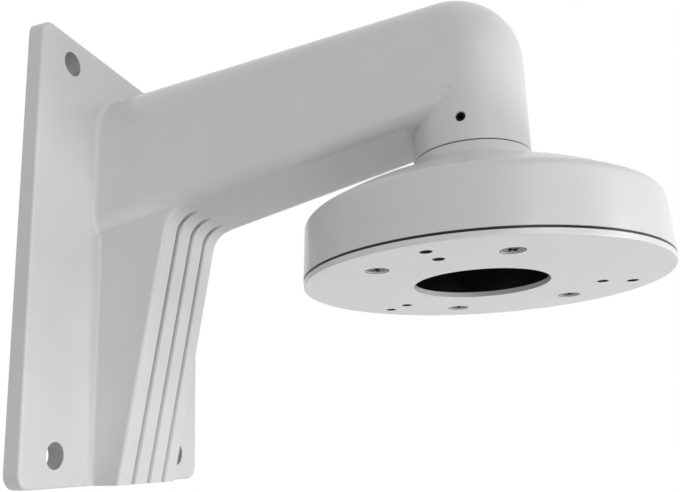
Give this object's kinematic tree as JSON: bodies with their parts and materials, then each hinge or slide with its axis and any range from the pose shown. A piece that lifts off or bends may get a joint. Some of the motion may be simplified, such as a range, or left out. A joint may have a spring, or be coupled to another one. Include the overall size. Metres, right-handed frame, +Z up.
{
  "type": "camera wall bracket",
  "caption": "Cast wall arm with a grooved gusset and a turned-down neck that carries a round cap and adapter plate for a dome camera.",
  "frame": {"origin": "centre of the four wall holes, on the back face that meets the wall", "axes": "+Z up, the arm reaches out along -Y, so the wall is the plane y = 0 with the part on its -Y side; +X is to the right seen from the front"},
  "size_m": [0.1305, 0.2252, 0.1832],
  "materials": {
    "arm_coat": "white powder coat on die-cast aluminium, satin",
    "cap_coat": "white powder coat on die-cast aluminium, satin",
    "seal_rubber": "matte black",
    "plate_coat": "white powder coat on steel sheet, satin",
    "screw_steel": "zinc plated",
    "set_screw_steel": "black oxide"
  },
  "bodies": {
    "root": {"wall_arm": "arm_coat", "mount_cap": "cap_coat", "cap_gasket": "seal_rubber", "adapter_plate": "plate_coat", "plate_screws": "screw_steel", "set_screw": "set_screw_steel"}
  },
  "joints": []
}
